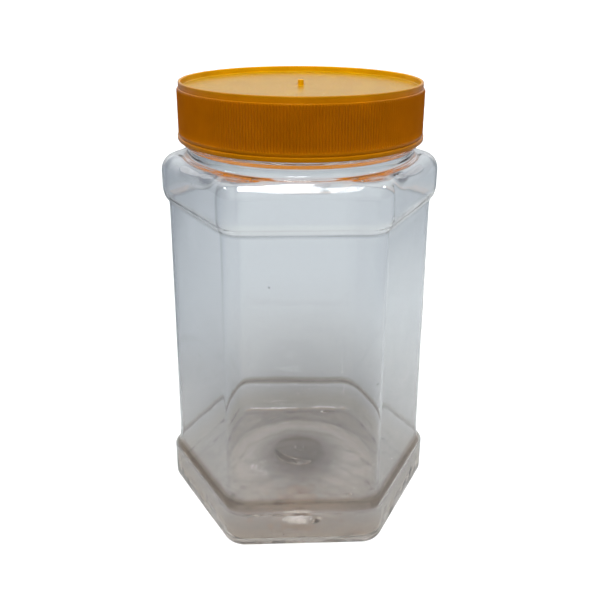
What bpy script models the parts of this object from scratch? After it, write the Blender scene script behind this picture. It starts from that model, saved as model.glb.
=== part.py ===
"""Empty hexagonal jar of clear PET, closed by a ribbed screw cap.

Metres, +Z up. The origin is the centre of the ring that the jar stands on.
Two faces of the hexagon look along -Y and +Y, and two of its corners along -X and +X.
"""

import math

import bmesh
import bpy
from mathutils import Vector

MM = 0.001
COLLECTION = "hexagonal_jar"
SIDES = 6
SECTOR = 360.0 / SIDES

# Jar body: half the width across the flats, and the radius of the six upright corners
LOW_BAND_HALF = 45.4 * MM
LOW_PANEL_HALF = 43.3 * MM
HIGH_PANEL_HALF = 42.6 * MM
HIGH_BAND_HALF = 44.5 * MM
CORNER = 9.0 * MM
WALL = 0.9 * MM

# Jar body: heights of the raised bands, whose ledges are steep at the band and fade into the panel,
# and of the shoulder, which ends in a small foot round the neck
HEEL = 3.0 * MM
LOW_BAND_TOP = 15.2 * MM
LOW_LEDGE_BEND = 17.7 * MM
PANEL_LOW = 22.0 * MM
PANEL_HIGH = 116.4 * MM
HIGH_LEDGE_BEND = 119.2 * MM
HIGH_BAND_LOW = 121.8 * MM
LEDGE_LEFT = 0.2
SHOULDER_LOW = 130.4 * MM
SHOULDER_TOP = 136.7 * MM
SHOULDER_ROUND = 5.6 * MM
FOOT_WIDTH = 0.8 * MM
FOOT_RISE = 0.6 * MM

# Base: a flat standing ring, and inside it a dome with a thick disc left by the mould's gate
RING_WIDTH = 3.0 * MM
DOME_RISE = 9.5 * MM
DOME_EDGE = 36.0 * MM
DISC_RADIUS = 9.5 * MM
DISC_THICK = 2.6 * MM
DISC_STEP = 1.2 * MM

# Neck: a plain stretch, the support ring, and the finish with its screw thread
NECK_RADIUS = 39.75 * MM
NECK_BASE = 136.9 * MM
RING_RADIUS = 41.8 * MM
RING_LOW = 140.8 * MM
RING_HIGH = 141.8 * MM
MOUTH_TOP = 158.8 * MM
RING_CHAMFER = 0.25 * MM
MOUTH_CHAMFER = 0.4 * MM
NECK_WALL = 1.5 * MM
THREAD_PITCH = 5.0 * MM
THREAD_TURNS = 1.4
THREAD_HEIGHT = 1.15 * MM
THREAD_FOOT = 1.9 * MM
THREAD_CREST = 0.8 * MM
THREAD_START = 145.4 * MM
THREAD_SINK = 0.5 * MM
THREAD_END_SINK = 0.2 * MM

# Cap: turned shape with fine ribs, and the stub of the mould's gate in its sunk top
CAP_LOW = 142.9 * MM
CAP_TOP = 162.6 * MM
BEAD_RADIUS = 43.3 * MM
BEAD_TOP = 144.3 * MM
RIB_CREST = 43.0 * MM
RIB_ROOT = 42.65 * MM
RIB_COUNT = 270
BAND_RADIUS = 42.4 * MM
RIB_TOP = 160.2 * MM
RIB_SINK = 0.5 * MM
RIM_WIDTH = 1.1 * MM
RIM_DRAFT = 0.15 * MM
RIM_CHAMFER = 0.25 * MM
CAP_CHAMFER = 0.4 * MM
RECESS_DEEP = 2.2 * MM
RECESS_CHAMFER = 0.3 * MM
ROOF_THICK = 1.3 * MM
ROOF_CHAMFER = 0.8 * MM
CAP_BORE = 41.45 * MM
BORE_BEYOND = 2.0 * MM
STUB_RADIUS = 1.1 * MM
STUB_TOP_RADIUS = 1.0 * MM
STUB_HEIGHT = 2.0 * MM
CAP_THREAD_HEIGHT = 1.0 * MM
CAP_THREAD_START = THREAD_START + THREAD_PITCH / 2

# How finely round shapes are cut: steps, and degrees between a section's points
TURN_STEPS = 90
THREAD_STEPS = 45
HEEL_STEPS = 4
INNER_HEEL_STEPS = 3
SHOULDER_STEPS = 5
INNER_SHOULDER_STEPS = 4
DOME_STEPS = 4
FLAT_STEP = 6.0
CORNER_STEP = 1.8
STEPS_EACH = 3
MERGE = 0.01 * MM
SHARP_ANGLE = 30.0

# Colours of the two plastics, as linear red, green and blue
PET_COLOUR = (0.80, 0.83, 0.87)
PET_IOR = 1.575
CAP_COLOUR = (0.78, 0.40, 0.02)


def clear_scene():
    """Remove whatever the file holds."""
    for item in list(bpy.data.objects):
        bpy.data.objects.remove(item, do_unlink=True)


def new_collection(name):
    """Return a new collection linked to the scene."""
    group = bpy.data.collections.new(name)
    bpy.context.scene.collection.children.link(group)
    return group


def new_object(name, mesh, group):
    """Return a new object that carries the mesh."""
    item = bpy.data.objects.new(name, mesh)
    group.objects.link(item)
    return item


def plain_material(name, colour, roughness, transmission=0.0, ior=1.5):
    """Return a Principled material."""
    material = bpy.data.materials.new(name)
    material.use_nodes = True
    shader = material.node_tree.nodes["Principled BSDF"]
    shader.inputs["Base Color"].default_value = (*colour, 1.0)
    shader.inputs["Roughness"].default_value = roughness
    shader.inputs["Metallic"].default_value = 0.0
    shader.inputs["Transmission Weight"].default_value = transmission
    shader.inputs["IOR"].default_value = ior
    material.diffuse_color = (*colour, 1.0)
    return material


def sector_angles():
    """Return one sector's angles in degrees from the middle of its flat, close together at the corners."""
    on_flat = [FLAT_STEP * step for step in range(1, STEPS_EACH + 1)]
    at_corner = [SECTOR / 2 - CORNER_STEP * step for step in range(STEPS_EACH, 0, -1)]
    half = on_flat + at_corner
    return [-SECTOR / 2] + [-angle for angle in reversed(half)] + [0.0] + half


def section_reach(half, corner, degrees_off_flat):
    """Return how far a rounded hexagon reaches, at an angle from the middle of a flat."""
    angle = math.radians(abs(degrees_off_flat))
    half_sector = math.radians(SECTOR / 2)
    flat_end = math.atan2((half - corner) * math.tan(half_sector), half)
    if angle <= flat_end:
        return half / math.cos(angle)
    centre = (half - corner) / math.cos(half_sector)
    off = half_sector - angle
    return centre * math.cos(off) + math.sqrt(corner ** 2 - (centre * math.sin(off)) ** 2)


def hexagon(half, corner, height):
    """Return one ring of the jar: a rounded hexagon, or a circle where corner equals half."""
    return [(section_reach(half, corner, off), height) for off in sector_angles()]


def circle(radius, height):
    """Return one round ring of the jar."""
    return hexagon(radius, radius, height)


def shoulder(half, corner, foot, low, top, rounding, turn):
    """Return one ring of the shoulder, whose edge has turned from upright by an angle."""
    ring = []
    for off in sector_angles():
        reach = section_reach(half, corner, off)
        inset = min(rounding, reach - foot) * (1.0 - math.cos(turn))
        ring.append((reach - inset, low + (top - low) * math.sin(turn)))
    return ring


def ring_points(ring):
    """Return the points of a ring all round the jar from those of one of its six sectors."""
    points = []
    for sector in range(SIDES):
        for off, (reach, height) in zip(sector_angles(), ring):
            angle = math.radians(SECTOR * sector - 90.0 + off)
            points.append((reach * math.cos(angle), reach * math.sin(angle), height))
    return points


def quarter(count):
    """Return the angles that divide a quarter turn, from its start to its end."""
    return [math.pi / 2 * step / count for step in range(count + 1)]


def heel(half, corner, radius, height, count):
    """Return the rings of a rounded heel, from the ground up."""
    rings = []
    for turn in quarter(count):
        inset = radius * (1.0 - math.sin(turn))
        rings.append(hexagon(half - inset, corner - inset, height + radius * (1.0 - math.cos(turn))))
    return rings


def body(wall):
    """Return the rings of the body's side at a depth below its outer face, from the heel up.

    A ledge's inner face lies half the depth nearer to the middle of the jar's height.
    """
    corner = CORNER - wall
    low_bend = LOW_PANEL_HALF + (LOW_BAND_HALF - LOW_PANEL_HALF) * LEDGE_LEFT
    high_bend = HIGH_PANEL_HALF + (HIGH_BAND_HALF - HIGH_PANEL_HALF) * LEDGE_LEFT
    return [
        hexagon(LOW_BAND_HALF - wall, corner, LOW_BAND_TOP - wall / 2),
        hexagon(low_bend - wall, corner, LOW_LEDGE_BEND - wall / 2),
        hexagon(LOW_PANEL_HALF - wall, corner, PANEL_LOW),
        hexagon(HIGH_PANEL_HALF - wall, corner, PANEL_HIGH),
        hexagon(high_bend - wall, corner, HIGH_LEDGE_BEND + wall / 2),
        hexagon(HIGH_BAND_HALF - wall, corner, HIGH_BAND_LOW + wall / 2),
    ]


def outer_rings():
    """Return the outer rings, from the standing ring up to the mouth."""
    rings = heel(LOW_BAND_HALF, CORNER, HEEL, 0.0, HEEL_STEPS) + body(0.0)
    foot = NECK_RADIUS + FOOT_WIDTH
    for turn in quarter(SHOULDER_STEPS):
        rings.append(shoulder(HIGH_BAND_HALF, CORNER, foot, SHOULDER_LOW, SHOULDER_TOP, SHOULDER_ROUND, turn))
    rings += [
        circle(NECK_RADIUS, NECK_BASE + FOOT_RISE),
        circle(NECK_RADIUS, RING_LOW),
        circle(RING_RADIUS, RING_LOW + RING_CHAMFER),
        circle(RING_RADIUS, RING_HIGH - RING_CHAMFER),
        circle(NECK_RADIUS, RING_HIGH),
        circle(NECK_RADIUS, MOUTH_TOP - MOUTH_CHAMFER),
        circle(NECK_RADIUS - MOUTH_CHAMFER, MOUTH_TOP),
    ]
    return rings


def inner_rings():
    """Return the inner rings, from the mouth down to the inner heel."""
    bore = NECK_RADIUS - NECK_WALL
    half = HIGH_BAND_HALF - WALL
    top = SHOULDER_TOP - WALL
    rings = [circle(bore, MOUTH_TOP), circle(bore, NECK_BASE)]
    for turn in reversed(quarter(INNER_SHOULDER_STEPS)):
        rings.append(shoulder(half, CORNER - WALL, bore, SHOULDER_LOW, top, SHOULDER_ROUND - WALL, turn))
    rings += reversed(body(WALL))
    rings += reversed(heel(LOW_BAND_HALF - WALL, CORNER - WALL, HEEL - WALL, WALL, INNER_HEEL_STEPS))
    return rings


def dome_rings(lift, disc_lift):
    """Return the rings of the domed base from its rim to its middle, on one side of the wall."""
    rings = []
    for step in range(DOME_STEPS, 0, -1):
        radius = DISC_RADIUS + (DOME_EDGE - DISC_RADIUS) * step / DOME_STEPS
        rings.append(circle(radius, dome_height(radius) + lift))
    rings.append(circle(DISC_RADIUS + DISC_STEP, dome_height(DISC_RADIUS) + lift))
    rings.append(circle(DISC_RADIUS, dome_height(DISC_RADIUS) + disc_lift))
    return rings


def dome_height(radius):
    """Return the height of the dome's underside at a distance from its middle."""
    return DOME_RISE * math.cos(math.pi / 2 * radius / DOME_EDGE)


def build_jar(group, material):
    """Build the jar's wall as one closed shell, lofted from its outside to its inside."""
    under = list(reversed(dome_rings(0.0, 0.0)))
    standing = hexagon(LOW_BAND_HALF - HEEL - RING_WIDTH, CORNER - HEEL, 0.0)
    rings = under + [standing] + outer_rings() + inner_rings() + dome_rings(WALL, DISC_THICK)

    shell = bmesh.new()
    loops = [[shell.verts.new(point) for point in ring_points(ring)] for ring in rings]
    for lower, upper in zip(loops, loops[1:]):
        for index, vert in enumerate(lower):
            after = (index + 1) % len(lower)
            shell.faces.new((vert, lower[after], upper[after], upper[index]))
    shell.faces.new(reversed(loops[0]))
    shell.faces.new(loops[-1])
    bmesh.ops.recalc_face_normals(shell, faces=shell.faces)

    mesh = bpy.data.meshes.new("jar")
    shell.to_mesh(mesh)
    shell.free()
    mesh.materials.append(material)
    return new_object("jar", mesh, group)


def thread_ridge(name, radius, height, start, outward, group):
    """Build a helical ridge whose foot is sunk a little into the wall it belongs to."""
    side = 1.0 if outward else -1.0
    foot = radius - side * THREAD_SINK
    profile = bmesh.new()
    half_foot = THREAD_FOOT / 2
    half_crest = THREAD_CREST / 2
    outline = [(foot, -half_foot), (radius + side * height, -half_crest)]
    outline += [(radius + side * height, half_crest), (foot, half_foot)]
    steps = int(THREAD_STEPS * THREAD_TURNS)
    first = [profile.verts.new((x, 0.0, start + z)) for x, z in outline]
    face = profile.faces.new(first)
    turn = bmesh.ops.spin(
        profile,
        geom=[face],
        cent=(0.0, 0.0, 0.0),
        axis=(0.0, 0.0, 1.0),
        dvec=(0.0, 0.0, THREAD_PITCH * THREAD_TURNS / steps),
        angle=2.0 * math.pi * THREAD_TURNS,
        steps=steps,
        use_duplicate=False,
    )
    for end in (first, [vert for vert in turn["geom_last"] if isinstance(vert, bmesh.types.BMVert)]):
        taper_end(end, radius, side)
    bmesh.ops.recalc_face_normals(profile, faces=profile.faces)
    mesh = bpy.data.meshes.new(name)
    profile.to_mesh(mesh)
    profile.free()
    item = new_object(name, mesh, group)
    item.hide_render = True
    item.display_type = "WIRE"
    return item


def taper_end(verts, radius, side):
    """Sink the crest of a thread's end into its wall, so that the ridge runs out."""
    for vert in verts:
        flat = Vector((vert.co.x, vert.co.y, 0.0))
        limit = radius - side * THREAD_END_SINK
        beyond = (flat.length - limit) * side
        if beyond > 0.0:
            flat = flat.normalized() * limit
            vert.co.x = flat.x
            vert.co.y = flat.y


def turned(name, outline, steps, group):
    """Build a turned solid from a profile that runs down its outer side, top to bottom."""
    profile = bmesh.new()
    verts = [profile.verts.new((x, 0.0, z)) for x, z in outline]
    for one, two in zip(verts, verts[1:]):
        profile.edges.new((one, two))
    mesh = bpy.data.meshes.new(name)
    profile.to_mesh(mesh)
    profile.free()
    item = new_object(name, mesh, group)
    screw = item.modifiers.new("turn", "SCREW")
    screw.steps = steps
    screw.render_steps = steps
    screw.use_merge_vertices = True
    screw.merge_threshold = MERGE
    return item


def cutter(item):
    """Mark an object as a tool that only shapes others."""
    item.hide_render = True
    item.display_type = "WIRE"
    return item


def rib_sleeve(group):
    """Build a prism with a zigzag edge: its points are the cap's ribs."""
    low = BEAD_TOP - RIB_SINK
    prism = bmesh.new()
    bmesh.ops.create_circle(prism, cap_ends=True, segments=2 * RIB_COUNT, radius=RIB_CREST)
    rim = sorted(prism.verts, key=lambda vert: math.atan2(vert.co.y, vert.co.x))
    for vert in rim[::2]:
        vert.co *= RIB_ROOT / RIB_CREST
    for vert in prism.verts:
        vert.co.z = low
    raised = bmesh.ops.extrude_face_region(prism, geom=list(prism.faces), use_keep_orig=True)
    top = [part for part in raised["geom"] if isinstance(part, bmesh.types.BMVert)]
    bmesh.ops.translate(prism, verts=top, vec=(0.0, 0.0, RIB_TOP - low))
    bmesh.ops.recalc_face_normals(prism, faces=prism.faces)
    mesh = bpy.data.meshes.new("rib_sleeve")
    prism.to_mesh(mesh)
    prism.free()
    return cutter(new_object("rib_sleeve", mesh, group))


def join_solid(target, other, operation):
    """Add a Boolean of the given kind to the target."""
    step = target.modifiers.new(other.name, "BOOLEAN")
    step.operation = operation
    step.solver = "EXACT"
    step.object = other


def build_cap(group, tools, material):
    """Build the cap: a turned body, ribs round it, and a bore with a screw thread inside it."""
    floor = CAP_TOP - RECESS_DEEP
    rim_inner = BAND_RADIUS - RIM_WIDTH
    rim_top_inner = rim_inner + RIM_DRAFT
    outline = [
        (0.0, floor + STUB_HEIGHT),
        (STUB_TOP_RADIUS, floor + STUB_HEIGHT),
        (STUB_RADIUS, floor),
        (rim_inner - RECESS_CHAMFER, floor),
        (rim_inner, floor + RECESS_CHAMFER),
        (rim_top_inner, CAP_TOP - RIM_CHAMFER),
        (rim_top_inner + RIM_CHAMFER, CAP_TOP),
        (BAND_RADIUS - CAP_CHAMFER, CAP_TOP),
        (BAND_RADIUS, CAP_TOP - CAP_CHAMFER),
        (BAND_RADIUS, BEAD_TOP),
        (BEAD_RADIUS, BEAD_TOP),
        (BEAD_RADIUS, CAP_LOW + CAP_CHAMFER),
        (BEAD_RADIUS - CAP_CHAMFER, CAP_LOW),
        (0.0, CAP_LOW),
    ]
    cap = turned("cap", outline, TURN_STEPS, group)
    cap.data.materials.append(material)
    roof = floor - ROOF_THICK
    hollow = [
        (0.0, roof),
        (CAP_BORE - ROOF_CHAMFER, roof),
        (CAP_BORE, roof - ROOF_CHAMFER),
        (CAP_BORE, CAP_LOW - BORE_BEYOND),
        (0.0, CAP_LOW - BORE_BEYOND),
    ]
    join_solid(cap, rib_sleeve(tools), "UNION")
    join_solid(cap, cutter(turned("cap_hollow", hollow, TURN_STEPS, tools)), "DIFFERENCE")
    ridge = thread_ridge("cap_thread", CAP_BORE, CAP_THREAD_HEIGHT, CAP_THREAD_START, False, tools)
    join_solid(cap, ridge, "UNION")
    return cap


def main():
    """Build the jar and its cap."""
    clear_scene()
    parts = new_collection(COLLECTION)
    tools = new_collection("cutters")
    clear_pet = plain_material("clear PET", PET_COLOUR, roughness=0.06, transmission=1.0, ior=PET_IOR)
    cap_plastic = plain_material("orange polypropylene", CAP_COLOUR, roughness=0.42)
    jar = build_jar(parts, clear_pet)
    ridge = thread_ridge("jar_thread", NECK_RADIUS, THREAD_HEIGHT, THREAD_START, True, tools)
    join_solid(jar, ridge, "UNION")
    cap = build_cap(parts, tools, cap_plastic)
    for item in (jar, cap):
        item.data.shade_smooth()
        item.data.set_sharp_from_angle(angle=math.radians(SHARP_ANGLE))


main()
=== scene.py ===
"""Visual model of an empty hexagonal jar: a clear PET body closed by an orange-yellow screw cap."""

import logging
import math
from dataclasses import dataclass
from enum import Enum
from typing import Any, Optional, Sequence

import bmesh
import bpy
import numpy as np
from mathutils import Matrix, Vector, noise


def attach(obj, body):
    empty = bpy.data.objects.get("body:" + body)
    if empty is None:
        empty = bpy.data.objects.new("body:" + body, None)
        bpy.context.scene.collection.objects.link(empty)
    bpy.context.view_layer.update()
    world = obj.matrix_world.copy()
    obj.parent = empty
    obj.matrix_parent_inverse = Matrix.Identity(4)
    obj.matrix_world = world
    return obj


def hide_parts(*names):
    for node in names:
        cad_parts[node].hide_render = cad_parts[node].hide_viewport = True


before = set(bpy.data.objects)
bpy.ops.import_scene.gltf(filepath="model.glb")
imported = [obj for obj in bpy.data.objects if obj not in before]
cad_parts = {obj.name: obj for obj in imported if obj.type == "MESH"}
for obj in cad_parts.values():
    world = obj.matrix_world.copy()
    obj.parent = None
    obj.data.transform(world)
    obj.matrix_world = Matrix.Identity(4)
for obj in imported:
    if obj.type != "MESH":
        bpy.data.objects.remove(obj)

LOG = logging.getLogger("hexagonal_jar")
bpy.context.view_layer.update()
MM = 0.001
IMAGE_SIZE = 600
FULL_TURN = 2.0 * math.pi
QUARTER_TURN = math.pi / 2
MERGE_WITHIN = 0.0005 * MM
SLIVER_WITHIN = 0.0001 * MM

# Node settings that the materials and the studio's light share.
PRODUCT = {"operation": "MULTIPLY"}
LARGER = {"operation": "MAXIMUM"}
WITHOUT_SIGN = {"operation": "ABSOLUTE"}
LENGTH = {"operation": "LENGTH"}
COLOUR_MIX = {"data_type": "RGBA"}
SOFT_STEP = {"interpolation_type": "SMOOTHSTEP"}

Point = tuple[float, float]
Span = tuple[float, float]
Colour = tuple[float, float, float, float]


class Side(Enum):
    """Which face of the jar's wall a ring lies on."""

    OUTER = 0.0
    INNER = 1.0


def linear(code: str) -> Colour:
    """Turn an sRGB hex colour to linear light.

    Args:
        code: The colour as #RRGGBB.

    Returns:
        Red, green, blue and an alpha of one.
    """
    parts = [int(code[start:start + 2], 16) / 255.0 for start in (1, 3, 5)]
    red, green, blue = (p / 12.92 if p <= 0.04045 else ((p + 0.055) / 1.055) ** 2.4 for p in parts)
    return red, green, blue, 1.0


def add_node(tree: bpy.types.NodeTree, kind: str, settings: Optional[dict[str, Any]] = None,
             **inputs: Any) -> bpy.types.Node:
    """Add a node with its settings and links.

    Args:
        tree: The tree that gets the node.
        kind: The node's type.
        settings: The node's own properties.
        inputs: A value or a socket for each input, by name with _ for a space, or by i and its number.

    Returns:
        The new node.
    """
    node = tree.nodes.new(kind)
    for name, value in (settings or {}).items():
        setattr(node, name, value)
    for name, value in inputs.items():
        by_number = name[0] == "i" and name[1:].isdigit()
        socket = node.inputs[int(name[1:])] if by_number else node.inputs[name.replace("_", " ")]
        if isinstance(value, bpy.types.NodeSocket):
            tree.links.new(value, socket)
        else:
            socket.default_value = value
    return node


def empty_material(name: str) -> tuple[bpy.types.Material, bpy.types.NodeTree]:
    """Make a material with no nodes in it.

    Args:
        name: The material's name.

    Returns:
        The new material and its node tree.
    """
    material = bpy.data.materials.new(name)
    material.use_nodes = True
    material.node_tree.nodes.clear()
    return material, material.node_tree


def ramp_stops(node: bpy.types.Node, stops: Sequence[tuple[float, str]]) -> None:
    """Give a colour ramp its stops.

    Args:
        node: The colour ramp.
        stops: Place and sRGB colour of each stop, in rising order.
    """
    elements = node.color_ramp.elements
    while len(elements) < len(stops):
        elements.new(0.5)
    for element, (place, code) in zip(elements, stops):
        element.position = place
        element.color = linear(code)


@dataclass(frozen=True)
class ClearPet:
    """Stretch-blow-moulded PET.

    It is clear and glossy with a faint grey-blue cast, which shows more where two walls overlap. The
    base stays thick and unstretched. Its cast is painted darker and warmer towards the bottom, as painted
    shade of the ground it stands on seen through it, and darkest in the disc at the middle of the base.
    The low ledge and the heel are painted darker too, as painted shade, and the high ledge has a grey
    line of painted shade at its bend under a band left clear, as painted light. Faint flow waves,
    stronger in the base, and a few specks bend what is seen through the wall. Light on its way from a
    lamp passes with next to no loss.
    """

    name: str = "blow-moulded PET"
    upper: str = "#F6F8FB"
    # Painted shade: the lower wall, low ledge, base and heel get darker, warmer casts than the upper one
    lower: str = "#ECEAE9"
    ledge: str = "#C4B9AE"
    base: str = "#E9E0D6"
    heel: str = "#CFC8C1"
    # Painted shade and light at the high ledge: a grey line at its bend, then a band left white above it
    fold: str = "#D6D9DC"
    painted_bright_band: str = "#FFFFFF"
    neck: str = "#E5E8EA"
    # Painted shade: the darker cast in the middle of the base
    middle: str = "#988B7F"
    lamp_tint: str = "#F7F8FA"
    jar_height: float = 162.6 * MM
    middle_reach: Span = (8.5 * MM, 20.0 * MM)
    middle_top: Span = (13.0 * MM, 16.0 * MM)
    ior: float = 1.575
    roughness: float = 0.03
    wave_size: float = 9.0 * MM
    wave_detail: float = 1.3
    wave_roughness: float = 0.4
    wave_strength: float = 0.35
    wave_depth: float = 0.12 * MM
    base_top: float = 14.0 * MM
    base_waves: float = 38.0
    speck_spacing: float = 11.0 * MM
    speck_share: float = 0.035
    speck_strength: float = 0.6
    speck_depth: float = 0.4 * MM

    def zones(self) -> list[tuple[float, str]]:
        """Return the cast at each share of the jar's height, from the heel to the neck.

        The darker heel, base, lower wall and low ledge and the grey line at the high bend are painted
        shade, and the band left white above that line is painted light.
        """
        return [
            (0.0, self.heel), (0.018, self.base), (0.04, self.base), (0.09, self.lower),
            (0.098, self.ledge), (0.114, self.ledge), (0.125, self.lower), (0.45, self.upper),
            (0.7295, self.upper), (0.7315, self.fold), (0.7345, self.fold), (0.7375, self.painted_bright_band),
            (0.757, self.painted_bright_band), (0.76, self.upper), (0.846, self.upper), (0.852, self.neck),
        ]

    def cast(self, tree: bpy.types.NodeTree, place: bpy.types.NodeSocket,
             height: bpy.types.NodeSocket) -> bpy.types.NodeSocket:
        """Add the nodes for the plastic's cast.

        Args:
            tree: The material's tree.
            place: The place in the object.
            height: The height in the object.

        Returns:
            The cast by height, with painted shade that is darkest in the middle of the base.
        """
        share = add_node(tree, "ShaderNodeMath", PRODUCT, i0=height, i1=1.0 / self.jar_height)
        by_height = add_node(tree, "ShaderNodeValToRGB", Fac=share.outputs[0])
        ramp_stops(by_height, self.zones())
        # Painted shade: the middle of the base, low down, gets a darker cast
        level = add_node(tree, "ShaderNodeVectorMath", PRODUCT, i0=place, i1=(1.0, 1.0, 0.0))
        radius = add_node(tree, "ShaderNodeVectorMath", LENGTH, i0=level.outputs[0])
        away = add_node(tree, "ShaderNodeMapRange", Value=radius.outputs["Value"],
                        From_Min=self.middle_reach[0], From_Max=self.middle_reach[1])
        above = add_node(tree, "ShaderNodeMapRange", Value=height, From_Min=self.middle_top[0],
                         From_Max=self.middle_top[1])
        outside = add_node(tree, "ShaderNodeMath", LARGER, i0=away.outputs["Result"],
                           i1=above.outputs["Result"])
        cast = add_node(tree, "ShaderNodeMix", COLOUR_MIX, i0=outside.outputs[0],
                        i6=linear(self.middle), i7=by_height.outputs["Color"])
        return cast.outputs[2]

    def relief(self, tree: bpy.types.NodeTree, place: bpy.types.NodeSocket,
               height: bpy.types.NodeSocket) -> bpy.types.NodeSocket:
        """Add the nodes for the surface's flow waves and specks.

        Args:
            tree: The material's tree.
            place: The place in the object.
            height: The height in the object.

        Returns:
            The normal for the shader.
        """
        waves = add_node(tree, "ShaderNodeTexNoise", Vector=place, Scale=1.0 / self.wave_size,
                         Detail=self.wave_detail, Roughness=self.wave_roughness)
        specks = add_node(tree, "ShaderNodeTexVoronoi", Vector=place, Scale=1.0 / self.speck_spacing)
        dots = add_node(tree, "ShaderNodeMapRange", Value=specks.outputs["Distance"], From_Min=0.0,
                        From_Max=self.speck_share, To_Min=1.0, To_Max=0.0)
        uneven = add_node(tree, "ShaderNodeMapRange", Value=height, From_Min=self.base_top,
                          From_Max=0.0, To_Min=1.0, To_Max=self.base_waves)
        swell = add_node(tree, "ShaderNodeMath", PRODUCT, i0=waves.outputs["Fac"],
                         i1=uneven.outputs["Result"])
        flow = add_node(tree, "ShaderNodeBump", Height=swell.outputs[0], Strength=self.wave_strength,
                        Distance=self.wave_depth)
        pitted = add_node(tree, "ShaderNodeBump", Height=dots.outputs["Result"],
                          Strength=self.speck_strength, Distance=self.speck_depth,
                          Normal=flow.outputs["Normal"])
        return pitted.outputs["Normal"]

    def build(self) -> bpy.types.Material:
        """Return the material."""
        material, tree = empty_material(self.name)
        place = add_node(tree, "ShaderNodeTexCoord").outputs["Object"]
        height = add_node(tree, "ShaderNodeSeparateXYZ", Vector=place).outputs["Z"]
        plastic = add_node(tree, "ShaderNodeBsdfPrincipled", Base_Color=self.cast(tree, place, height),
                           Roughness=self.roughness, IOR=self.ior, Transmission_Weight=1.0,
                           Normal=self.relief(tree, place, height))
        lamp_way = add_node(tree, "ShaderNodeBsdfTransparent", Color=linear(self.lamp_tint))
        path = add_node(tree, "ShaderNodeLightPath")
        both = add_node(tree, "ShaderNodeMixShader", i0=path.outputs["Is Shadow Ray"],
                        i1=plastic.outputs[0], i2=lamp_way.outputs[0])
        add_node(tree, "ShaderNodeOutputMaterial", Surface=both.outputs[0])
        return material


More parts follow.
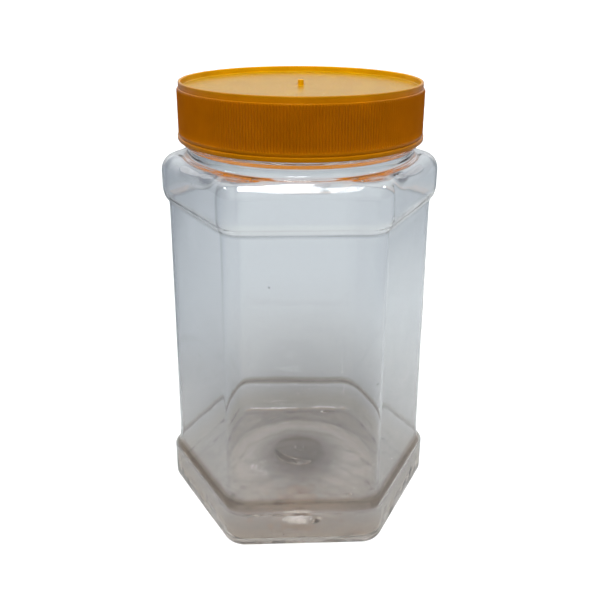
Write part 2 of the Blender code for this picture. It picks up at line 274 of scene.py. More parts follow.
@dataclass(frozen=True)
class CapPlastic:
    """Injection-moulded polypropylene.

    It is deep orange-yellow and satin, with slightly uneven pigment. Its side is painted darker brown, as
    painted shade, and its rim and the stub of the gate are painted brighter, as painted light. Some light
    passes through its roof, 1.3 mm thick, by a little subsurface scattering, and its inside is also given a
    faint orange glow that is painted light, an emission; the clear neck and shoulder show that glow as
    orange. The mould's grain is drawn coarser than it is, as it wouldn't show otherwise.
    """

    name: str = "injection-moulded PP"
    top: str = "#A87D02"
    # Painted light: the rim's top and the gate's stub are painted brighter than the top
    painted_lit_rim: str = "#CE9302"
    # Painted shade and light down the side: the ribbed side darker, the bead, bands and rim lighter
    rim: str = "#A06A02"
    band: str = "#AE6802"
    side: str = "#925000"
    band_low: str = "#A05A01"
    bead: str = "#A46502"
    sheen_tint: str = "#FFB430"
    # Painted glow: an emission on the cap's inside, standing in for light through the roof
    painted_glow_colour: str = "#FF9800"
    painted_glow_strength: float = 0.6
    stub: float = 1.5 * MM
    raised_from: Span = (41.0 * MM, 41.3 * MM)
    side_from: Span = (41.8 * MM, 42.1 * MM)
    lining_to: Span = (41.7 * MM, 42.0 * MM)
    roof_to: Span = (159.6 * MM, 159.9 * MM)
    low: float = 142.9 * MM
    height: float = 19.7 * MM
    ior: float = 1.49
    roughness: float = 0.26
    roughness_swing: float = 0.04
    specular: float = 0.26
    glow: float = 0.15
    glow_depth: float = 1.5 * MM
    glow_reach: tuple[float, float, float] = (1.0, 0.45, 0.1)
    grain_size: float = 0.35 * MM
    grain_detail: float = 2.0
    grain_strength: float = 0.25
    grain_depth: float = 0.03 * MM
    cloud_size: float = 9.0 * MM
    cloud_detail: float = 3.0
    cloud_span: Span = (0.3, 0.7)
    cloud_swing: float = 0.08

    def zones(self) -> list[tuple[float, str]]:
        """Return the side's colour at each share of the cap's height, from the bead to the rim.

        The ribbed side is painted darker, as painted shade, and the bead, the bands and the rim lighter, as
        painted light.
        """
        return [
            (0.0, self.bead), (0.09, self.bead), (0.15, self.band_low), (0.25, self.side),
            (0.86, self.side), (0.89, self.band), (0.95, self.band), (0.985, self.rim),
        ]

    def pigment(self, tree: bpy.types.NodeTree, place: bpy.types.NodeSocket, radius: bpy.types.NodeSocket,
                height: bpy.types.NodeSocket) -> bpy.types.NodeSocket:
        """Add the nodes for the cap's colour.

        Args:
            tree: The material's tree.
            place: The place in the object.
            radius: The distance from the cap's axis.
            height: The height in the object.

        Returns:
            The colour of the top, rim, stub and side, with faint clouds in it; the side carries painted
            shade, and the rim and the stub painted light.
        """
        outward = add_node(tree, "ShaderNodeMapRange", Value=radius, From_Min=self.side_from[0],
                           From_Max=self.side_from[1])
        raised = add_node(tree, "ShaderNodeMapRange", Value=radius, From_Min=self.raised_from[0],
                          From_Max=self.raised_from[1])
        # Painted shade and light down the side, by height
        share = add_node(tree, "ShaderNodeMapRange", Value=height, From_Min=self.low,
                         From_Max=self.low + self.height)
        wall = add_node(tree, "ShaderNodeValToRGB", Fac=share.outputs["Result"])
        ramp_stops(wall, self.zones())
        # Painted light: the rim's top and the gate's stub get the brighter colour
        gate = add_node(tree, "ShaderNodeMath", {"operation": "LESS_THAN"}, i0=radius, i1=self.stub)
        brighter = add_node(tree, "ShaderNodeMath", LARGER, i0=raised.outputs["Result"],
                            i1=gate.outputs[0])
        upper = add_node(tree, "ShaderNodeMix", COLOUR_MIX, i0=brighter.outputs[0],
                         i6=linear(self.top), i7=linear(self.painted_lit_rim))
        flat = add_node(tree, "ShaderNodeMix", COLOUR_MIX, i0=outward.outputs["Result"],
                        i6=upper.outputs[2], i7=wall.outputs["Color"])
        cloud = add_node(tree, "ShaderNodeTexNoise", Vector=place, Scale=1.0 / self.cloud_size,
                         Detail=self.cloud_detail)
        shade = add_node(tree, "ShaderNodeMapRange", Value=cloud.outputs["Fac"],
                         From_Min=self.cloud_span[0], From_Max=self.cloud_span[1],
                         To_Min=1.0 - self.cloud_swing, To_Max=1.0 + self.cloud_swing)
        pigment = add_node(tree, "ShaderNodeHueSaturation", Color=flat.outputs[2],
                           Value=shade.outputs["Result"])
        return pigment.outputs["Color"]

    def painted_inner_glow(self, tree: bpy.types.NodeTree, radius: bpy.types.NodeSocket,
                    height: bpy.types.NodeSocket) -> bpy.types.NodeSocket:
        """Add the nodes for the painted glow of the cap's inside, an emission that stands in for light
        through the roof.

        Args:
            tree: The material's tree.
            radius: The distance from the cap's axis.
            height: The height in the object.

        Returns:
            The painted glow's strength, which is zero outside.
        """
        lining = add_node(tree, "ShaderNodeMapRange", Value=radius, From_Min=self.lining_to[0],
                          From_Max=self.lining_to[1], To_Min=1.0, To_Max=0.0)
        under = add_node(tree, "ShaderNodeMapRange", Value=height, From_Min=self.roof_to[0],
                         From_Max=self.roof_to[1], To_Min=self.painted_glow_strength, To_Max=0.0)
        shine = add_node(tree, "ShaderNodeMath", PRODUCT, i0=lining.outputs["Result"],
                         i1=under.outputs["Result"])
        return shine.outputs[0]

    def build(self) -> bpy.types.Material:
        """Return the material."""
        material, tree = empty_material(self.name)
        place = add_node(tree, "ShaderNodeTexCoord").outputs["Object"]
        height = add_node(tree, "ShaderNodeSeparateXYZ", Vector=place).outputs["Z"]
        level = add_node(tree, "ShaderNodeVectorMath", PRODUCT, i0=place, i1=(1.0, 1.0, 0.0))
        radius = add_node(tree, "ShaderNodeVectorMath", LENGTH, i0=level.outputs[0]).outputs["Value"]
        grain = add_node(tree, "ShaderNodeTexNoise", Vector=place, Scale=1.0 / self.grain_size,
                         Detail=self.grain_detail)
        satin = add_node(tree, "ShaderNodeMapRange", Value=grain.outputs["Fac"],
                         To_Min=self.roughness - self.roughness_swing,
                         To_Max=self.roughness + self.roughness_swing)
        relief = add_node(tree, "ShaderNodeBump", Height=grain.outputs["Fac"],
                          Strength=self.grain_strength, Distance=self.grain_depth)
        # Its emission is the painted glow of the cap's inside
        plastic = add_node(tree, "ShaderNodeBsdfPrincipled",
                           Base_Color=self.pigment(tree, place, radius, height),
                           Roughness=satin.outputs["Result"], IOR=self.ior, Normal=relief.outputs["Normal"],
                           Specular_IOR_Level=self.specular, Specular_Tint=linear(self.sheen_tint),
                           Subsurface_Weight=self.glow, Subsurface_Radius=self.glow_reach,
                           Subsurface_Scale=self.glow_depth, Emission_Color=linear(self.painted_glow_colour),
                           Emission_Strength=self.painted_inner_glow(tree, radius, height))
        add_node(tree, "ShaderNodeOutputMaterial", Surface=plastic.outputs[0])
        return material


@dataclass(frozen=True)
class StudioPaper:
    """Matt background paper.

    It looks white from the camera. What it lights, and what the jar shows of it, is the mid grey of a
    plainer room, so that the clear walls stand out from it. Far out at the left and right it is painted
    darker, as painted shade of a dimmer room at the sides, and where the jar stands it has a little
    painted contact shadow.
    """

    name: str = "matt paper"
    seen: str = "#EAEAEA"
    felt: str = "#ABAEAE"
    # Painted shade at the sides, and where it starts and ends
    painted_side_shade: str = "#7A7E82"
    left: Span = (-0.155, -0.035)
    right: Span = (0.19, 0.33)
    # Painted contact shadow: how dark it is, and how far it reaches
    painted_contact_shadow: float = 0.83
    painted_shadow_reach: Span = (0.05, 0.09)

    def build(self) -> bpy.types.Material:
        """Return the material."""
        material, tree = empty_material(self.name)
        place = add_node(tree, "ShaderNodeTexCoord").outputs["Object"]
        across = add_node(tree, "ShaderNodeSeparateXYZ", Vector=place).outputs["X"]
        # Painted shade far out at the left and right
        left = add_node(tree, "ShaderNodeMapRange", SOFT_STEP, Value=across, From_Min=self.left[0],
                        From_Max=self.left[1])
        right = add_node(tree, "ShaderNodeMapRange", SOFT_STEP, Value=across, From_Min=self.right[0],
                         From_Max=self.right[1], To_Min=1.0, To_Max=0.0)
        middle = add_node(tree, "ShaderNodeMath", PRODUCT, i0=left.outputs["Result"],
                          i1=right.outputs["Result"])
        room = add_node(tree, "ShaderNodeMix", COLOUR_MIX, i0=middle.outputs[0],
                        i6=linear(self.painted_side_shade), i7=linear(self.felt))
        # Painted contact shadow where the jar stands
        radius = add_node(tree, "ShaderNodeVectorMath", LENGTH, i0=place)
        shade = add_node(tree, "ShaderNodeMapRange", SOFT_STEP, Value=radius.outputs["Value"],
                         From_Min=self.painted_shadow_reach[0], From_Max=self.painted_shadow_reach[1],
                         To_Min=self.painted_contact_shadow, To_Max=1.0)
        under = add_node(tree, "ShaderNodeHueSaturation", Color=room.outputs[2],
                         Value=shade.outputs["Result"])
        path = add_node(tree, "ShaderNodeLightPath")
        tone = add_node(tree, "ShaderNodeMix", COLOUR_MIX, i0=path.outputs["Is Camera Ray"],
                        i6=under.outputs["Color"], i7=linear(self.seen))
        paper = add_node(tree, "ShaderNodeBsdfDiffuse", Color=tone.outputs[2])
        add_node(tree, "ShaderNodeOutputMaterial", Surface=paper.outputs[0])
        return material


def rounded(points: Sequence[Point], radii: Sequence[float], steps: int, most: float = 0.49) -> list[Point]:
    """Round the inner corners of an outline.

    Args:
        points: The outline's corners.
        radii: The radius at each inner corner, 0 for a sharp one.
        steps: The number of edges in each rounding.
        most: The share of an edge that a rounding may take.

    Returns:
        The outline with an arc at each inner corner.
    """
    line = [points[0]]
    for before, here, after, radius in zip(points, points[1:], points[2:], radii):
        back = Vector(before) - Vector(here)
        ahead = Vector(after) - Vector(here)
        half_angle = back.angle(ahead) / 2.0
        reach = min(radius / math.tan(half_angle), most * back.length, most * ahead.length)
        if reach <= 0.0:
            line.append(here)
            continue
        fitted = reach * math.tan(half_angle)
        way = (back.normalized() + ahead.normalized()).normalized()
        middle = Vector(here) + way * fitted / math.sin(half_angle)
        first = Vector(here) + back.normalized() * reach - middle
        last = Vector(here) + ahead.normalized() * reach - middle
        for step in range(steps + 1):
            line.append(tuple(middle + first.slerp(last, step / steps) * fitted))
    line.append(points[-1])
    return line


def dense(points: Sequence[Point], longest: float) -> list[Point]:
    """Divide an outline's long edges.

    Args:
        points: The outline.
        longest: The longest edge to keep whole.

    Returns:
        The same outline with no edge much longer than that.
    """
    line = [points[0]]
    for before, here in zip(points, points[1:]):
        parts = max(1, round(math.dist(before, here) / longest))
        for part in range(1, parts + 1):
            share = part / parts
            line.append(tuple(b + (h - b) * share for b, h in zip(before, here)))
    return line


def row_of_places(around: np.ndarray, reach: np.ndarray, level: float) -> np.ndarray:
    """Place one row of points round the Z axis.

    Args:
        around: The points' angles, in radians.
        reach: Their distances from the axis.
        level: Their height.

    Returns:
        One place for each point.
    """
    return np.stack([reach * np.cos(around), reach * np.sin(around), np.full_like(around, level)], axis=1)


def wrapped(name: str, rows: Sequence[np.ndarray]) -> bpy.types.Object:
    """Wrap a grid round the Z axis into one closed body.

    Args:
        name: The new object's name.
        rows: The places of each row's points all round; the first and last rows are single points.

    Returns:
        The new object.
    """
    table = np.array(rows)
    count, columns = table.shape[:2]
    body = bmesh.new()
    bmesh.ops.create_grid(body, x_segments=columns, y_segments=count - 1, size=0.5)
    for vert in body.verts:
        column = round((vert.co.x + 0.5) * columns) % columns
        row = round((vert.co.y + 0.5) * (count - 1))
        vert.co = table[row, column]
    bmesh.ops.remove_doubles(body, verts=body.verts, dist=MERGE_WITHIN)
    bmesh.ops.dissolve_degenerate(body, edges=body.edges, dist=SLIVER_WITHIN)
    bmesh.ops.recalc_face_normals(body, faces=body.faces)
    mesh = bpy.data.meshes.new(name)
    body.to_mesh(mesh)
    body.free()
    mesh.shade_smooth()
    piece = bpy.data.objects.new(name, mesh)
    bpy.context.scene.collection.objects.link(piece)
    return piece


def hand_in(piece: bpy.types.Object, node: str, material: bpy.types.Material) -> None:
    """Dress a piece and put it in a node's place.

    Args:
        piece: The piece.
        node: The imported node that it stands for.
        material: The finish.
    """
    piece.data.materials.append(material)
    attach(piece, "root")
    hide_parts(node)
    LOG.info("%s: %d faces", piece.name, len(piece.data.polygons))


@dataclass(frozen=True)
class ScrewThread:
    """A thread's ridge, which climbs round the Z axis and runs out softly at both ends."""

    start: float
    depth: float
    pitch: float = 5.0 * MM
    turns: float = 1.4
    flank: float = 0.62 * MM
    crest: float = 1.5
    run_out: float = 0.05

    def relief(self, around: np.ndarray, level: float) -> np.ndarray:
        """Work out how far the thread stands out at a height.

        Args:
            around: Angles round the axis, in radians.
            level: The height.

        Returns:
            The ridge's depth at each angle.
        """
        relief = np.zeros_like(around)
        for lap in range(math.ceil(self.turns)):
            turned = np.mod(around, FULL_TURN) / FULL_TURN + lap
            middle = self.start + self.pitch * turned
            form = np.clip(self.crest - np.abs(level - middle) / self.flank, 0.0, 1.0)
            ends = np.clip(np.minimum(turned, self.turns - turned) / self.run_out, 0.0, 1.0)
            relief = np.maximum(relief, self.depth * form * ends)
        return relief


@dataclass
class Jar:
    """The clear body: six sides, two raised bands, a shoulder, a round neck and a base raised inside.

    Its two faces are made of rows of places that run round the Z axis, from under the base over the
    outside, the mouth and the bore to the floor inside.
    """

    low_band_half: float = 45.4 * MM
    low_panel_half: float = 43.3 * MM
    high_panel_half: float = 42.6 * MM
    high_band_half: float = 44.5 * MM
    corner: float = 9.0 * MM
    wall: float = 0.9 * MM
    heel: float = 3.0 * MM
    heel_inside: float = 4.6 * MM
    low_band_top: float = 15.2 * MM
    low_bend: float = 17.7 * MM
    low_bend_share: float = 0.2
    panel_low: float = 22.0 * MM
    panel_high: float = 116.4 * MM
    high_bend: float = 119.2 * MM
    high_bend_out: float = 0.1 * MM
    ledge_low: float = 121.3 * MM
    ledge_short: float = 0.6 * MM
    ledge_top: float = 124.0 * MM
    shoulder_low: float = 130.4 * MM
    shoulder_top: float = 136.7 * MM
    shoulder_round: float = 5.6 * MM
    foot_round: float = 2.2 * MM
    foot_round_inside: float = 1.4 * MM
    dome_rise: float = 9.5 * MM
    dome_edge: float = 36.0 * MM
    dome_power: float = 2.4
    gate_mark: float = 1.8 * MM
    gate_depth: float = 0.8 * MM
    slope_from: float = 3.0 * MM
    disc_radius: float = 9.5 * MM
    disc_slope: float = 0.7 * MM
    disc_thick: float = 3.2 * MM
    disc_sag: float = 0.92
    disc_spread: float = 0.6
    disc_side: float = -125.0
    neck_radius: float = 39.75 * MM
    neck_base: float = 136.9 * MM
    neck_clear: float = 2.6 * MM
    neck_wall: float = 1.5 * MM
    ring_radius: float = 41.8 * MM
    ring_low: float = 140.2 * MM
    ring_high: float = 141.9 * MM
    ring_slope: float = 1.5 * MM
    ring_round: float = 0.3 * MM
    mouth_top: float = 158.8 * MM
    mouth_round: float = 0.5 * MM
    bore_deep: float = 4.0 * MM
    bore_clear: float = 1.6 * MM
    thread: ScrewThread = ScrewThread(start=145.4 * MM, depth=1.15 * MM)
    thread_row: float = 0.32 * MM
    flat_columns: int = 26
    corner_columns: int = 20
    corner_from: float = 24.0
    wave_depth: float = 0.05 * MM
    wave_length: float = 16.0 * MM
    wave_low: float = 14.0 * MM
    wave_fade_low: float = 12.0 * MM
    wave_fade_high: float = 8.0 * MM
    inner_seed: float = 40.0

    def angles(self) -> np.ndarray:
        """Return the angles of one sector's columns from the middle of its flat, in degrees."""
        flat = np.linspace(-self.corner_from, self.corner_from, self.flat_columns + 1)[:-1]
        side = np.linspace(self.corner_from, 60.0 - self.corner_from, self.corner_columns + 1)[:-1]
        return np.concatenate([flat, side])

    def around(self) -> np.ndarray:
        """Return the angles of all columns, in radians."""
        return np.concatenate([np.radians(60.0 * sector - 90.0 + self.angles()) for sector in range(6)])

    def reach(self, half: float, corner: float) -> np.ndarray:
        """Work out how far a rounded hexagon reaches.

        Args:
            half: Half its width across the flats.
            corner: The radius of its corners.

        Returns:
            The distance from the axis for one sector's columns.
        """
        angle = np.radians(30.0 - np.abs(30.0 - np.abs(self.angles())))
        flat_end = math.atan2((half - corner) * math.tan(math.radians(30.0)), half)
        centre = (half - corner) / math.cos(math.radians(30.0))
        away = math.radians(30.0) - angle
        arc = centre * np.cos(away) + np.sqrt(np.maximum(corner ** 2 - (centre * np.sin(away)) ** 2, 0.0))
        return np.where(angle <= flat_end, half / np.cos(angle), arc)

    def row(self, reach: np.ndarray, level: float) -> np.ndarray:
        """Return one row from one sector's distances and its height."""
        return row_of_places(self.around(), np.tile(reach, 6), level)

    def circle(self, radius: float, level: float) -> np.ndarray:
        """Return one round row from its radius and height."""
        return self.row(np.full_like(self.angles(), radius), level)

    def dome_height(self, radius: float) -> float:
        """Return the height that the floor's dome has, less the wall, at a distance from its middle."""
        return self.dome_rise * (1.0 - min(radius / self.dome_edge, 1.0) ** self.dome_power)

    def underside(self) -> list[np.ndarray]:
        """Return the rows of the underside: the small mark of the gate, then a plain slope to the ring."""
        mark, deep, slope = self.gate_mark, self.dome_rise - self.gate_depth, self.slope_from
        points = [(0.0, deep), (mark * 0.8, deep), (mark, self.dome_height(mark))]
        points.append((slope, self.dome_height(slope)))
        outline = rounded(points, [0.2 * MM] * 2, 3)
        outline[-1] = (self.dome_edge, 0.0)
        return [self.circle(*point) for point in outline]

    def floor(self) -> list[np.ndarray]:
        """Return the rows of the domed floor inside, from the middle of its thick disc out."""
        step, edge = self.disc_radius, self.disc_radius + self.disc_slope
        top = self.dome_height(step) + self.disc_thick
        outline = [(0.0, top), (step - 0.2 * MM, top), (edge, self.dome_height(step) + self.wall)]
        for radius in np.linspace(0.0, self.dome_edge, 25):
            if radius > step + 1.6 * MM:
                outline.append((radius, self.dome_height(radius) + self.wall))
        line = dense(rounded(outline, [0.7 * MM, 0.9 * MM] + [0.0] * (len(outline) - 4), 5), 3.0 * MM)
        return [self.sagged(self.circle(*point)) for point in line]

    def sagged(self, row: np.ndarray) -> np.ndarray:
        """Lower the disc at its back, where less plastic was left.

        Args:
            row: A row of the floor inside.

        Returns:
            The row with its new heights.
        """
        radius = np.hypot(row[:, 0], row[:, 1])
        plain = np.array([self.dome_height(each) for each in radius]) + self.wall
        away = 1.0 - np.cos(np.arctan2(row[:, 1], row[:, 0]) - math.radians(self.disc_side))
        lost = self.disc_sag * np.minimum(away / self.disc_spread, 1.0)
        thick = np.maximum(row[:, 2] - plain, 0.0)
        level = row.copy()
        level[:, 2] = row[:, 2] - thick * lost * np.clip(radius / self.disc_radius, 0.0, 1.0)
        return level

    def side_outline(self, side: Side) -> list[Point]:
        """Draw the body's side from the heel to the shoulder.

        Args:
            side: The face of the wall.

        Returns:
            Half widths and heights.
        """
        wall = self.wall * side.value
        step = self.low_band_half - self.low_panel_half
        low_bend_half = self.low_panel_half + step * self.low_bend_share
        points = [
            (self.dome_edge, wall),
            (self.low_band_half - wall, wall),
            (self.low_band_half - wall, self.low_band_top - wall / 2),
            (low_bend_half - wall, self.low_bend - wall / 2),
            (self.low_panel_half - wall, self.panel_low),
            (self.high_panel_half - wall, self.panel_high),
            (self.high_panel_half + self.high_bend_out - wall, self.high_bend + wall / 2),
            (self.high_band_half - self.ledge_short - wall, self.ledge_low + wall / 2),
            (self.high_band_half - wall, self.ledge_top),
            (self.high_band_half - wall, self.shoulder_low),
        ]
        radii = [self.heel, 1.4 * MM, 2.0 * MM]
        if side is Side.INNER:
            radii = [self.heel_inside, 4.0 * MM, 4.0 * MM]
        radii += [6.0 * MM, 12.0 * MM, 0.4 * MM, 3.0 * MM, 8.0 * MM]
        return dense(rounded(points, radii, 7), 4.0 * MM)

    def body(self, side: Side) -> list[np.ndarray]:
        """Make the body's side, from the standing ring up to the shoulder.

        Args:
            side: The face of the wall.

        Returns:
            Its rows.
        """
        rows = []
        wall = self.wall * side.value
        heel_top = self.heel if side is Side.OUTER else wall + self.heel_inside
        for half, level in self.side_outline(side)[1:-1]:
            corner = self.corner - wall
            if level < heel_top:
                corner = max(half - (self.low_band_half - self.corner), self.corner - self.heel)
            rows.append(self.row(self.reach(half, corner), level))
        return rows

    def shoulder(self, side: Side) -> list[np.ndarray]:
        """Make the shoulder, from the upright band to the foot of the neck.

        Args:
            side: The face of the wall.

        Returns:
            Its rows.
        """
        wall = self.wall * side.value
        neck = self.neck_radius - self.neck_wall * side.value
        foot = neck + (self.foot_round if side is Side.OUTER else self.foot_round_inside)
        edge = self.reach(self.high_band_half - wall, self.corner - wall)
        most = np.minimum(self.shoulder_round - wall, edge - foot)
        inner = edge - most
        top = self.shoulder_top - wall
        rows = []
        for turn in np.linspace(0.0, QUARTER_TURN, 15):
            level = self.shoulder_low + (top - self.shoulder_low) * math.sin(turn)
            rows.append(self.row(edge - most * (1.0 - math.cos(turn)), level))
        rise = self.neck_base - self.shoulder_top
        for share in (0.34, 0.67, 1.0):
            rows.append(self.row(inner + (foot - inner) * share, top + rise * share))
        for turn in np.linspace(0.0, QUARTER_TURN, 6)[1:]:
            radius = foot - (foot - neck) * math.sin(turn)
            rows.append(self.circle(radius, top + rise + (foot - neck) * (1.0 - math.cos(turn))))
        return rows

    def finish(self) -> list[np.ndarray]:
        """Return the rows of the neck's outside, from its foot up to the mouth and down the bore."""
        neck, ring, bore = self.neck_radius, self.ring_radius, self.neck_radius - self.neck_wall
        low = [
            (neck, self.neck_base + self.neck_clear),
            (neck, self.ring_low),
            (ring - self.ring_slope, self.ring_low),
            (ring, self.ring_low + self.ring_slope),
            (ring, self.ring_high - 0.1 * MM),
            (neck, self.ring_high + 0.1 * MM),
            (neck, self.ring_high + 1.2 * MM),
        ]
        rows = [self.circle(*point) for point in rounded(low, [self.ring_round] * 5, 5)]
        for level in np.arange(self.ring_high + 1.6 * MM, self.mouth_top - 1.0 * MM, self.thread_row):
            reach = neck + self.thread.relief(self.around(), level)
            rows.append(row_of_places(self.around(), reach, level))
        mouth = [
            (neck, self.mouth_top - 0.9 * MM),
            (neck, self.mouth_top),
            (bore, self.mouth_top),
            (bore, self.mouth_top - 1.4 * MM),
        ]
        rows += [self.circle(*point) for point in rounded(mouth, [self.mouth_round] * 2, 4)]
        deep = np.linspace(self.mouth_top - self.bore_deep, self.neck_base + self.bore_clear, 5)
        return rows + [self.circle(bore, level) for level in deep]

    def waved(self, rows: list[np.ndarray], seed: float) -> list[np.ndarray]:
        """Make upright walls wave a little, as blown walls do.

        Args:
            rows: The rows.
            seed: Where in the noise they start, so that the two faces of the wall differ.

        Returns:
            The waved rows.
        """
        moved = []
        for row in rows:
            level = row[0][2]
            fade = np.clip((level - self.wave_low) / self.wave_fade_low, 0.0, 1.0)
            fade *= np.clip((self.shoulder_low - level) / self.wave_fade_high, 0.0, 1.0)
            out = row.copy()
            for index, place in enumerate(row):
                spot = Vector(place) / self.wave_length + Vector((seed, 0.0, 0.0))
                push = noise.noise(spot) * self.wave_depth * fade / math.hypot(place[0], place[1])
                out[index][:2] *= 1.0 + push
            moved.append(out)
        return moved

    def build(self) -> bpy.types.Object:
        """Build the wall as one closed shell, from under the base to its floor inside."""
        outside = self.underside() + self.waved(self.body(Side.OUTER), 0.0) + self.shoulder(Side.OUTER)
        inside = self.floor() + self.waved(self.body(Side.INNER), self.inner_seed)
        inside += self.shoulder(Side.INNER)
        return wrapped("jar_shell", outside + self.finish() + inside[::-1])


@dataclass
class ScrewCap:
    """The cap: a shallow dish with a narrow raised rim, fine ribs, a plain bead and a bore with a thread."""

    low: float = 142.9 * MM
    top: float = 162.6 * MM
    bead_radius: float = 43.3 * MM
    bead_top: float = 144.3 * MM
    rib_crest: float = 43.0 * MM
    rib_root: float = 42.65 * MM
    rib_count: int = 270
    rib_top: float = 160.2 * MM
    rib_chamfer: float = 0.5 * MM
    rib_low: float = 145.5 * MM
    rib_fade: float = 0.45 * MM
    rib_sharpness: float = 0.8
    columns_per_rib: int = 4
    band_radius: float = 42.4 * MM
    rim_width: float = 1.1 * MM
    recess: float = 2.2 * MM
    roof: float = 1.3 * MM
    bore: float = 41.45 * MM
    stub_radius: float = 1.1 * MM
    stub_height: float = 2.0 * MM
    flat_rows: Span = (6.192 * MM, 35.884 * MM)
    thread: ScrewThread = ScrewThread(start=147.9 * MM, depth=1.0 * MM)
    thread_row: float = 0.7 * MM
    sharp_from: float = 30.0

    def around(self) -> np.ndarray:
        """Return the angles of all columns, in radians."""
        columns = self.rib_count * self.columns_per_rib
        return np.arange(columns) * FULL_TURN / columns

    def ribbed(self, crest: float, root: float, level: float) -> np.ndarray:
        """Make one row whose radius swings between the ribs' crests and roots.

        Args:
            crest: The radius at the crests.
            root: The radius at the roots.
            level: The row's height.

        Returns:
            The row's places.
        """
        wave = 0.5 + 0.5 * np.cos(self.around() * self.rib_count)
        return row_of_places(self.around(), root + (crest - root) * wave ** self.rib_sharpness, level)

    def circle(self, radius: float, level: float) -> np.ndarray:
        """Return one round row from its radius and height."""
        return self.ribbed(radius, radius, level)

    def dish(self) -> list[Point]:
        """Return the outline from the middle of the top, over the rim and down to the ribs.

        The two rows on the flat top keep its shading level up to the roundings beside it.
        """
        floor = self.top - self.recess
        inner = self.band_radius - self.rim_width
        points = [
            (0.0, floor + self.stub_height),
            (self.stub_radius * 0.92, floor + self.stub_height),
            (self.stub_radius, floor),
            (self.flat_rows[0], floor),
            (self.flat_rows[1], floor),
            (inner, floor),
            (inner + 0.15 * MM, self.top),
            (self.band_radius, self.top),
            (self.band_radius, self.rib_top + 0.25 * MM),
            (self.rib_root, self.rib_top + 0.1 * MM),
        ]
        radii = [0.2 * MM, 0.15 * MM, 0.0, 0.0, 0.5 * MM, 0.45 * MM, 0.45 * MM, 0.2 * MM]
        return rounded(points, radii, 5)

    def foot(self) -> list[Point]:
        """Return the outline from below the ribs, round the bead and up to the bore's thread."""
        points = [
            (self.rib_crest, self.rib_low - 0.3 * MM),
            (self.rib_crest - 0.1 * MM, self.bead_top + 0.5 * MM),
            (self.rib_crest - 0.35 * MM, self.bead_top + 0.1 * MM),
            (self.bead_radius, self.bead_top - 0.1 * MM),
            (self.bead_radius, self.low),
            (self.bore + 0.2 * MM, self.low),
            (self.bore, self.low + 1.6 * MM),
        ]
        return rounded(points, [0.3 * MM, 0.1 * MM, 0.1 * MM, 0.25 * MM, 0.4 * MM], 4)

    def threaded_bore(self) -> list[np.ndarray]:
        """Return the rows of the bore with its screw thread."""
        rows = [self.circle(self.bore, self.low + 2.0 * MM)]
        for level in np.arange(self.low + 3.4 * MM, self.top - 6.0 * MM, self.thread_row):
            reach = self.bore - self.thread.relief(self.around(), level)
            rows.append(row_of_places(self.around(), reach, level))
        return rows

    def build(self) -> bpy.types.Object:
        """Build the cap as one closed shell, from the middle of its top to the middle of its roof inside."""
        rows = [self.circle(*point) for point in self.dish()]
        rows.append(self.circle(self.rib_root, self.rib_top))
        rows.append(self.ribbed(self.rib_crest, self.rib_root, self.rib_top - self.rib_chamfer))
        rows.append(self.ribbed(self.rib_crest, self.rib_root, self.rib_low + self.rib_fade))
        rows.append(self.circle(self.rib_crest, self.rib_low))
        rows += [self.circle(*point) for point in self.foot()]
        rows += self.threaded_bore()
        ceiling = self.top - self.recess - self.roof
        roof = [(self.bore, self.top - 5.5 * MM), (self.bore, ceiling), (0.0, ceiling)]
        rows += [self.circle(*point) for point in rounded(roof, [0.8 * MM], 4)]
        cap = wrapped("ribbed_cap", rows)
        cap.data.set_sharp_from_angle(angle=math.radians(self.sharp_from))
        return cap


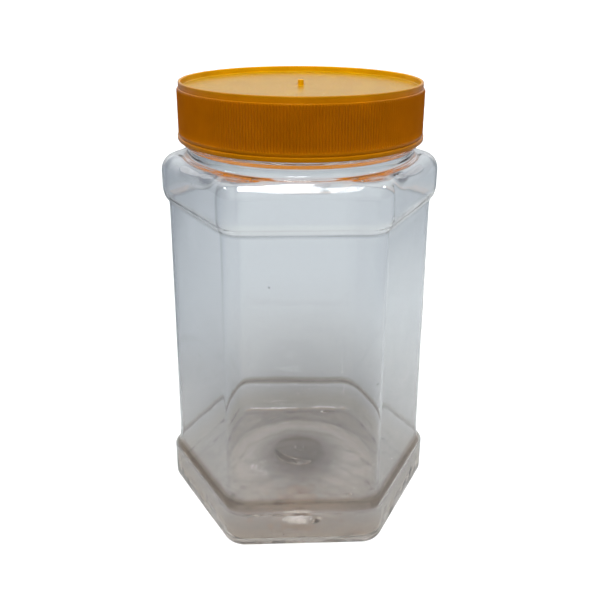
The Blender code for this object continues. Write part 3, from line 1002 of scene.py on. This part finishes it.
@dataclass
class Studio:
    """A pale floor, soft light from above and the camera at the photographed angle."""

    floor_radius: float = 14.0
    floor_gap: float = 0.25 * MM
    floor_edges: int = 96
    camera_away: float = 255.18 * MM
    camera_height: float = 193.5 * MM
    camera_turn: float = -0.041
    camera_pitch: float = 0.349
    camera_roll: float = 0.005
    camera_clip: Span = (0.01, 100.0)
    focal_pixels: float = 719.46
    sensor: float = 36.0
    axis_row: float = 246.0
    light: str = "#FBFCFD"
    horizon: float = 0.65
    overhead: float = 1.05
    climb: Span = (0.1, 0.5)
    sides: float = 0.25
    sides_from: Span = (0.5, 0.92)
    softbox: float = 14.0
    softbox_across: Span = (-0.22, 0.1)
    softbox_along: Span = (-0.84, -0.14)
    lamp: float = 22.0
    lamp_across: Span = (0.9, 1.1)
    lamp_along: Span = (0.0, 0.2)
    soft_edge: float = 0.02
    bounces: int = 24

    def floor(self) -> None:
        """Lay the floor."""
        disc = bmesh.new()
        bmesh.ops.create_circle(disc, cap_ends=True, segments=self.floor_edges, radius=self.floor_radius)
        bmesh.ops.translate(disc, verts=disc.verts, vec=(0.0, 0.0, -self.floor_gap))
        mesh = bpy.data.meshes.new("studio_floor")
        disc.to_mesh(mesh)
        disc.free()
        floor = bpy.data.objects.new("studio_floor", mesh)
        bpy.context.scene.collection.objects.link(floor)
        mesh.materials.append(StudioPaper().build())

    def inside(self, tree: bpy.types.NodeTree, place: bpy.types.NodeSocket,
               limits: Span) -> bpy.types.NodeSocket:
        """Add the nodes that tell whether a number lies between two limits.

        Args:
            tree: The world's tree.
            place: The number.
            limits: The lower and the upper limit.

        Returns:
            One between the limits, and softly down to zero beyond them.
        """
        middle = (limits[0] + limits[1]) / 2
        reach = (limits[1] - limits[0]) / 2
        off = add_node(tree, "ShaderNodeMath", {"operation": "SUBTRACT"}, i0=place, i1=middle)
        size = add_node(tree, "ShaderNodeMath", WITHOUT_SIGN, i0=off.outputs[0])
        mask = add_node(tree, "ShaderNodeMapRange", SOFT_STEP, Value=size.outputs[0], From_Min=reach,
                        From_Max=reach + self.soft_edge, To_Min=1.0, To_Max=0.0)
        return mask.outputs["Result"]

    def room_light(self, tree: bpy.types.NodeTree, across: bpy.types.NodeSocket,
                   height: bpy.types.NodeSocket) -> bpy.types.NodeSocket:
        """Add the nodes for the light of the room: brighter overhead, and dim at the left and right.

        Args:
            tree: The world's tree.
            across: How far a direction points to the right.
            height: How far it points up.

        Returns:
            The light's strength.
        """
        climbing = add_node(tree, "ShaderNodeMapRange", SOFT_STEP, Value=height, From_Min=self.climb[0],
                            From_Max=self.climb[1], To_Min=self.horizon, To_Max=self.overhead)
        aside = add_node(tree, "ShaderNodeMath", WITHOUT_SIGN, i0=across)
        dim = add_node(tree, "ShaderNodeMapRange", SOFT_STEP, Value=aside.outputs[0],
                       From_Min=self.sides_from[0], From_Max=self.sides_from[1], To_Min=1.0,
                       To_Max=self.sides)
        room = add_node(tree, "ShaderNodeMath", PRODUCT, i0=climbing.outputs["Result"],
                        i1=dim.outputs["Result"])
        return room.outputs[0]

    def sky_light(self) -> None:
        """Light the scene from all round, with a long soft window overhead and a lamp high at each side.

        The shoulder shows the window as its bright stripe, and the lamps as the glints on its corners.
        """
        world = bpy.data.worlds.new("soft studio")
        bpy.context.scene.world = world
        world.use_nodes = True
        tree = world.node_tree
        tree.nodes.clear()
        place = add_node(tree, "ShaderNodeTexCoord")
        way = add_node(tree, "ShaderNodeSeparateXYZ", Vector=place.outputs["Generated"])
        height = way.outputs["Z"]
        across = add_node(tree, "ShaderNodeMath", {"operation": "DIVIDE"}, i0=way.outputs["X"], i1=height)
        along = add_node(tree, "ShaderNodeMath", {"operation": "DIVIDE"}, i0=way.outputs["Y"], i1=height)
        window = add_node(tree, "ShaderNodeMath", PRODUCT,
                          i0=self.inside(tree, across.outputs[0], self.softbox_across),
                          i1=self.inside(tree, along.outputs[0], self.softbox_along))
        either = add_node(tree, "ShaderNodeMath", WITHOUT_SIGN, i0=across.outputs[0])
        lamps = add_node(tree, "ShaderNodeMath", PRODUCT,
                         i0=self.inside(tree, either.outputs[0], self.lamp_across),
                         i1=self.inside(tree, along.outputs[0], self.lamp_along))
        above = add_node(tree, "ShaderNodeMath", {"operation": "GREATER_THAN"}, i0=height, i1=0.0)
        upward = add_node(tree, "ShaderNodeMath", PRODUCT, i0=lamps.outputs[0], i1=above.outputs[0])
        lit = add_node(tree, "ShaderNodeMath", {"operation": "MULTIPLY_ADD"}, i0=upward.outputs[0],
                       i1=self.lamp, i2=self.room_light(tree, way.outputs["X"], height))
        strength = add_node(tree, "ShaderNodeMath", {"operation": "MULTIPLY_ADD"}, i0=window.outputs[0],
                            i1=self.softbox, i2=lit.outputs[0])
        light = add_node(tree, "ShaderNodeBackground", Color=linear(self.light),
                         Strength=strength.outputs[0])
        add_node(tree, "ShaderNodeOutputWorld", Surface=light.outputs[0])

    def camera(self) -> None:
        """Place the camera as the photograph was taken."""
        turn, pitch, roll = self.camera_turn, self.camera_pitch, self.camera_roll
        level_way = Vector((-math.sin(turn), math.cos(turn), 0.0))
        ahead = level_way * math.cos(pitch) - Vector((0.0, 0.0, math.sin(pitch)))
        across = ahead.cross(Vector((0.0, 0.0, 1.0))).normalized()
        upright = across.cross(ahead)
        right = math.cos(roll) * across + math.sin(roll) * upright
        up = math.cos(roll) * upright - math.sin(roll) * across
        lens = bpy.data.cameras.new("camera")
        lens.sensor_width = self.sensor
        lens.sensor_fit = "HORIZONTAL"
        lens.lens = self.focal_pixels / IMAGE_SIZE * lens.sensor_width
        lens.shift_y = (self.axis_row - IMAGE_SIZE / 2) / IMAGE_SIZE
        lens.clip_start, lens.clip_end = self.camera_clip
        camera = bpy.data.objects.new("camera", lens)
        place = Vector((0.0, 0.0, self.camera_height)) - level_way * self.camera_away
        camera.matrix_world = Matrix.Translation(place) @ Matrix((right, up, -ahead)).transposed().to_4x4()
        bpy.context.scene.collection.objects.link(camera)
        bpy.context.scene.camera = camera

    def build(self) -> None:
        """Set up everything round the jar."""
        self.camera()
        self.floor()
        self.sky_light()
        cycles = bpy.context.scene.cycles
        cycles.max_bounces = cycles.transmission_bounces = cycles.glossy_bounces = self.bounces
        view = bpy.context.scene.view_settings
        view.view_transform = "Standard"
        view.look = "None"


def main() -> None:
    """Build and dress the jar, its cap and the studio round them."""
    logging.basicConfig(level=logging.INFO, format="%(message)s")
    Studio().build()
    hand_in(Jar().build(), "jar", ClearPet().build())
    hand_in(ScrewCap().build(), "cap", CapPlastic().build())


if __name__ == "__main__":
    main()
